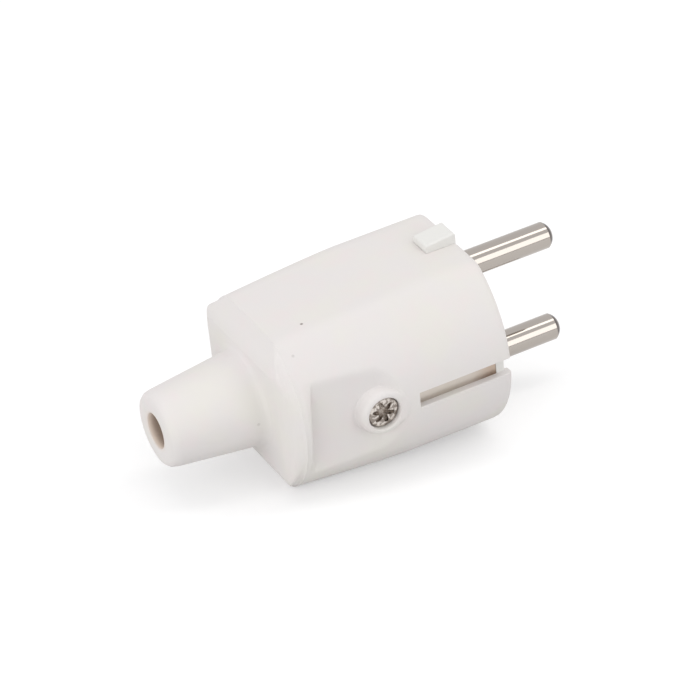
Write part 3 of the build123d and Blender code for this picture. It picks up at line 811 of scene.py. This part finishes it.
along, _, _ = rubber.coordinates()
across = rubber.node("ShaderNodeVectorMath", {"operation": "MULTIPLY"}, {0: rubber.place, 1: (0, 1, 1)})
off_axis = rubber.node("ShaderNodeVectorMath", {"operation": "LENGTH"}, {0: across}, "Value")
# Painted shade with dust: the cord's hole is coloured beige at its lip and brown further in
in_hole = off_axis.between(4.2 * MM, 3.4 * MM)
white = rubber.mix(in_hole * along.between(-58.5 * MM, -58.0 * MM), white, HOLE_LIP_DUST_AND_SHADE)
white = rubber.mix(in_hole * along.between(-58.1 * MM, -56.7 * MM), white, HOLE_DEEP_DUST_AND_SHADE)
dirt = sum(
    (1 - rubber.distance(place).between(size * SPECK_CORE * MM, size * MM)) * strength
    for place, size, strength in SPECKS
)
rubber.show({"Base Color": rubber.mix(dirt, white, DIRT), "Roughness": 0.55 + 0.1 * clouds})
rubber.bump(rubber.noise(0.5, 3.0) * 0.6 + rubber.noise(3.0, 2.0) * 0.4, 0.014)
rubber.put_on(cover)

# %% [markdown]
# ## Plastic, nickel and steel
#
# The insert is a harder, cooler white plastic. The pins are brass with bright nickel on them, slightly
# brushed along their length where sockets have rubbed them, and a dark reflection is painted on their upper
# side near their ends. The earth strip is darker towards the front, with painted shade along its lower edge
# there. The screws are zinc-plated steel with a grainy surface. Plain shaders would be too clean, so each
# finish gets a fine relief.

# %% Plastic finishes
insert_look = {"Base Color": paint(226, 225, 221), "Roughness": 0.45, "Specular IOR Level": 0.35}
insert = Finish("insert_plastic", insert_look)
insert.bump(insert.noise(0.8, 2.0), 0.004)
insert.put_on(nodes["contact_carrier"])

bridge = Finish("bridge_plastic", {"Base Color": paint(228, 226, 220), "Roughness": 0.45})
bridge.bump(bridge.noise(0.8, 2.0), 0.006)
bridge.put_on(nodes["rear_bridge"], nodes["cord_clamp_bar"])


# %% Nickel on the pins and the earth strip
NICKEL = paint(177, 170, 163)
NICKEL_DARK_REFLECTION = paint(98, 92, 90)
STRIP_BACK = paint(199, 191, 182)
STRIP_FRONT = paint(182, 164, 149)
# Painted shade for the strip's lower edge under the slot's lip
STRIP_EDGE_SHADE = paint(138, 118, 100)


def metal(name, colour, roughness, grain, depth, stretch=(1, 1, 1)):
    """A metal with its roughness and relief broken by noise."""
    made = Finish(name, {"Base Color": colour, "Metallic": 1.0})
    brushed = made.noise(grain, 3.0, stretch)
    made.show({"Roughness": roughness + 0.1 * brushed})
    made.bump(brushed, depth)
    return made


pins = metal("pin_nickel", NICKEL, 0.05, 0.25, 0.0015, (0.05, 1, 1))
pin_along, _, pin_up = pins.coordinates()
# Painted reflection: the upper side of each pin, just behind its rounded end, is coloured dark for a dark
# reflection
on_upper_pin = pin_up.between(8.2 * MM, 9.6 * MM)
on_lower_pin = pin_up.between(-10.8 * MM, -9.4 * MM) * pin_up.between(2 * MM, -2 * MM)
near_end = pin_along.between(17.75 * MM, 17.9 * MM) * pin_along.between(18.75 * MM, 18.4 * MM)
painted_dark_reflection = near_end * (on_upper_pin + on_lower_pin)
pins.show({"Base Color": pins.mix(painted_dark_reflection * 0.9, NICKEL, NICKEL_DARK_REFLECTION)})
pins.put_on(*pin_pieces)

strip = metal("earth_nickel", STRIP_BACK, 0.3, 0.4, 0.003, (0.2, 1, 1))
strip_along, _, strip_up = strip.coordinates()
in_front = strip_along.between(-8.0 * MM, -2.6 * MM)
# Painted shade: towards the front, the strip's lower edge is coloured darker for the shade under the slot's
# lower lip
low = strip_up.between(-0.2 * MM, -1.4 * MM)
bare = strip.mix(in_front, STRIP_BACK, STRIP_FRONT)
strip.show({"Base Color": strip.mix(in_front * low * 0.7, bare, STRIP_EDGE_SHADE)})
strip.put_on(nodes["earth_strip"])

# %% Steel of the screws, nuts and washer
STEEL = paint(176, 168, 160)
FACE_DARK = paint(142, 133, 126)
FACE_BRIGHT = paint(210, 203, 196)
DEEP_DARK = paint(146, 133, 122)
DEEP_BRIGHT = paint(188, 178, 168)

steel = metal("steel", STEEL, 0.2, 0.4, 0.06)
dressed = {"contact_carrier", "rear_bridge", "cord_clamp_bar", "earth_strip"}
dressed |= {"rubber_cover", "cover_screw", "line_pin", "neutral_pin"}
steel.put_on(*[thing for name, thing in nodes.items() if name not in dressed])

bright = metal("bright_screw", STEEL, 0.18, 0.8, 0.14)
_, outwards, _ = bright.coordinates()
flecks = bright.noise(0.6, 1.0).between(0.42, 0.62)
face_colour = bright.mix(flecks, FACE_DARK, FACE_BRIGHT)
deep_colour = bright.mix(flecks, DEEP_DARK, DEEP_BRIGHT)
deep = outwards.between(-17.6 * MM, -17.2 * MM)
bright.show({"Base Color": bright.mix(deep, face_colour, deep_colour), "Metallic": 1 - deep * 0.8})
bright.put_on(screw)

# %% [markdown]
# ## Floor, light and camera
#
# The plug lies on its lower lug and the edge of its back, so it leans by five degrees. It keeps its place in
# the frame, and the floor leans instead. One soft box lights it from above, one from the near side and one
# from the left, and the world fills the shadows. The long box above also draws the bright streaks along the
# pins. A background bright enough for the picture would light the plug too much, so the floor and the world
# look brighter to the camera and in mirroring surfaces than the light that they give.

# %% Floor under the two points that the plug rests on
LUG_FOOT = (-0.7, -18.2)
RIDGE_FOOT = (-38.7, -14.75)
FLOOR_REACH = 3000.0
FLOOR_GLOW = 0.35
slope = (RIDGE_FOOT[1] - LUG_FOOT[1]) / (RIDGE_FOOT[0] - LUG_FOOT[0])
corners = np.array([[-1, -1], [1, -1], [1, 1], [-1, 1]]) * FLOOR_REACH
floor_z = LUG_FOOT[1] + slope * (corners[:, 0] - LUG_FOOT[0])
floor_mesh = bpy.data.meshes.new("floor")
floor_mesh.from_pydata((np.column_stack([corners, floor_z]) * MM).tolist(), [], [[0, 1, 2, 3]])
floor = bpy.data.objects.new("floor", floor_mesh)
bpy.context.collection.objects.link(floor)

paper_look = {"Base Color": paint(218, 218, 218), "Roughness": 0.9, "Specular IOR Level": 0.0}
paper = Finish("floor_paper", paper_look)
camera_ray = paper.node("ShaderNodeLightPath", {}, {}, "Is Camera Ray")
seen = camera_ray + camera_ray.other("Is Glossy Ray") + camera_ray.other("Is Transmission Ray")
paper.show({"Emission Color": (1, 1, 1, 1), "Emission Strength": seen * FLOOR_GLOW})
paper.put_on(floor)
print("floor leans by degrees:", round(math.degrees(math.atan(-slope)), 1))

# %% World
SKY = 0.79
SKY_COLOUR = (0.985, 0.985, 1.0, 1.0)
world = bpy.data.worlds.new("studio")
bpy.context.scene.world = world
world.use_nodes = True
studio = Network(world.node_tree)
diffuse_ray = studio.node("ShaderNodeLightPath", {}, {}, "Is Diffuse Ray")
strength = 1 - diffuse_ray * (1 - SKY)
studio.feed(world.node_tree.nodes["Background"], {"Color": SKY_COLOUR, "Strength": strength})
print("the world's light on the plug:", SKY)

# %% Soft boxes
# The pins run along x, so what they mirror to the camera lies in a ring of directions with this x
MIRRORED_X = 0.347
MIRRORED_RADIUS = 0.938


def mirrored(turn_from_near, distance):
    """A place in that ring: its radius times the cosine and sine of the turn up from the near side."""
    turn = math.radians(turn_from_near)
    radius = MIRRORED_RADIUS * distance
    return [MIRRORED_X * distance, -radius * math.cos(turn), radius * math.sin(turn)]


def stand(thing, right, upwards, behind, place):
    """Turn a lamp or a camera by its own three axes, and put it in its place in metres."""
    placed = np.eye(4)
    placed[:3, :3] = np.column_stack([right, upwards, behind])
    placed[:3, 3] = place
    thing.matrix_world = Matrix(placed.tolist())
    bpy.context.collection.objects.link(thing)


def soft_box(name, middle, size, radiance, colour=(1, 1, 1)):
    """An area light at a place in metres, facing the plug. Its power is radiance times pi times its area."""
    lamp = bpy.data.lights.new(name, "AREA")
    lamp.shape = "RECTANGLE"
    lamp.size, lamp.size_y = size
    lamp.energy = radiance * math.pi * size[0] * size[1]
    lamp.color = colour
    behind = np.array(middle) / np.linalg.norm(middle)
    right = np.cross([0, 0, 1], behind)
    right /= np.linalg.norm(right)
    stand(bpy.data.objects.new(name, lamp), right, np.cross(behind, right), behind, middle)
    print(name, "power in watts:", round(lamp.energy, 2))


soft_box("overhead", mirrored(85, 0.62), (0.17, 1.1), 1.9, (1, 0.99, 0.965))
soft_box("near_side", mirrored(25, 0.62), (0.25, 0.4), 1.45)
soft_box("left_fill", [-0.62, -0.17, 0.18], (0.7, 0.42), 1.6)

# %% [markdown]
# The camera stands where the photograph was taken from: its direction, roll and distance were worked out
# from the pins, whose real size is known. It looks along straight axes kept as numbers, so nothing has to be
# aimed by hand.

# %% Camera
AZIMUTH, ELEVATION, ROLL = np.radians([-24.768, 34.171, -6.415])
DISTANCE = 750.0
SIDEWAYS, UPWARDS = -18.590, -6.002
PIXELS_PER_MM = 5.81816
SENSOR, PICTURE = 36.0, 700
level = np.array([math.cos(AZIMUTH), math.sin(AZIMUTH), 0])
ahead_on_floor = np.array([math.sin(AZIMUTH), -math.cos(AZIMUTH), 0])
towards_camera = ahead_on_floor * math.cos(ELEVATION) + np.array([0, 0, math.sin(ELEVATION)])
upright = np.cross(towards_camera, level)
right = math.cos(ROLL) * level + math.sin(ROLL) * upright
upwards = math.cos(ROLL) * upright - math.sin(ROLL) * level
lens = bpy.data.cameras.new("camera")
lens.sensor_width = SENSOR
lens.lens = PIXELS_PER_MM * DISTANCE * SENSOR / PICTURE
lens.clip_end = 10.0
camera = bpy.data.objects.new("camera", lens)
camera_place = (SIDEWAYS * right + UPWARDS * upwards + DISTANCE * towards_camera) * MM
stand(camera, right, upwards, towards_camera, camera_place)
bpy.context.scene.camera = camera
bpy.context.scene.view_settings.view_transform = "Standard"
print("lens, millimetres:", round(lens.lens, 1))
